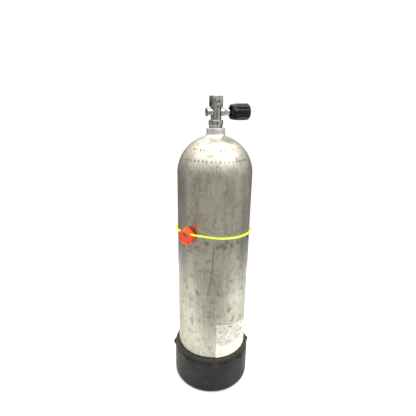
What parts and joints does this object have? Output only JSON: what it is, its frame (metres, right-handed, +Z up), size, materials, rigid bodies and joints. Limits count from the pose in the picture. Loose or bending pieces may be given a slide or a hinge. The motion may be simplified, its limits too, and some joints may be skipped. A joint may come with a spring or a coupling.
{
  "type": "scuba tank",
  "caption": "Bare aluminium diving cylinder with a chromed yoke pillar valve, black knob, rubber boot and a dust cap on an elastic cord.",
  "frame": {"origin": "centre of the boot's underside", "axes": "+Z up along the cylinder's axis, +X along the valve stem towards the knob, +Y the way the outlet faces"},
  "size_m": [0.211, 0.209, 0.768],
  "materials": {
    "bare_aluminium": "dull, weathered, with scuffs",
    "boot_rubber": "matte black, scuffed",
    "label_paper": "worn matte paper",
    "valve_chrome": "polished, slightly worn",
    "seal_rubber": "matte",
    "white_nylon": "matte",
    "plug_brass": "turned",
    "bright_steel": "turned",
    "knob_plastic": "smooth, semi-gloss black",
    "cap_plastic": "smooth moulded red-orange",
    "cord_elastic": "braided neon yellow cover"
  },
  "bodies": {
    "tank": {"cylinder": "bare_aluminium", "tank_boot": "boot_rubber", "inspection_label": "label_paper", "valve_body": "valve_chrome", "neck_o_ring": "seal_rubber", "dip_tube": "white_nylon", "outlet_o_ring": "seal_rubber", "side_plug": "valve_chrome", "side_plug_o_ring": "seal_rubber", "burst_plug": "plug_brass", "burst_disc": "bright_steel", "burst_gasket": "white_nylon", "thrust_washer": "white_nylon", "bonnet_gasket": "white_nylon", "bonnet_nut": "valve_chrome"},
    "knob": {"spindle": "bright_steel", "stem_o_ring": "seal_rubber", "knob_hub": "plug_brass", "knob_grip": "knob_plastic", "knob_spring": "bright_steel", "knob_washer": "bright_steel", "knob_nut": "bright_steel", "knob_cap": "knob_plastic"},
    "seat": {"valve_seat": "white_nylon"},
    "carrier": {"seat_carrier": "plug_brass"},
    "cord_loop": {"elastic_cord": "cord_elastic", "cord_knot": "cord_elastic"},
    "cap": {"dust_cap": "cap_plastic"}
  },
  "joints": [
    {"name": "knob_turn", "type": "hinge", "parent": "tank", "child": "knob", "pos_m": [0, 0, 0.732], "axis": [1, 0, 0], "range_deg": [0, 720]},
    {"name": "seat_travel", "type": "slide", "parent": "tank", "child": "seat", "axis": [1, 0, 0], "range_m": [0, 0.002]},
    {"name": "carrier_turn", "type": "hinge", "parent": "seat", "child": "carrier", "pos_m": [0, 0, 0.732], "axis": [1, 0, 0], "range_deg": [0, 720]},
    {"name": "cord_slide", "type": "slide", "parent": "tank", "child": "cord_loop", "axis": [0, 0, 1], "range_m": [-0.21, 0.115]},
    {"name": "cap_tilt", "type": "hinge", "parent": "cord_loop", "child": "cap", "pos_m": [-0.09138, -0.05556, 0.46088], "axis": [0.5195, -0.8545, 0], "range_deg": [-75, 2]}
  ],
  "couplings": [
    {"joint": "seat_travel", "follows": "knob_turn", "m_per_rad": 0.00015915},
    {"joint": "carrier_turn", "follows": "knob_turn", "ratio": 1}
  ]
}
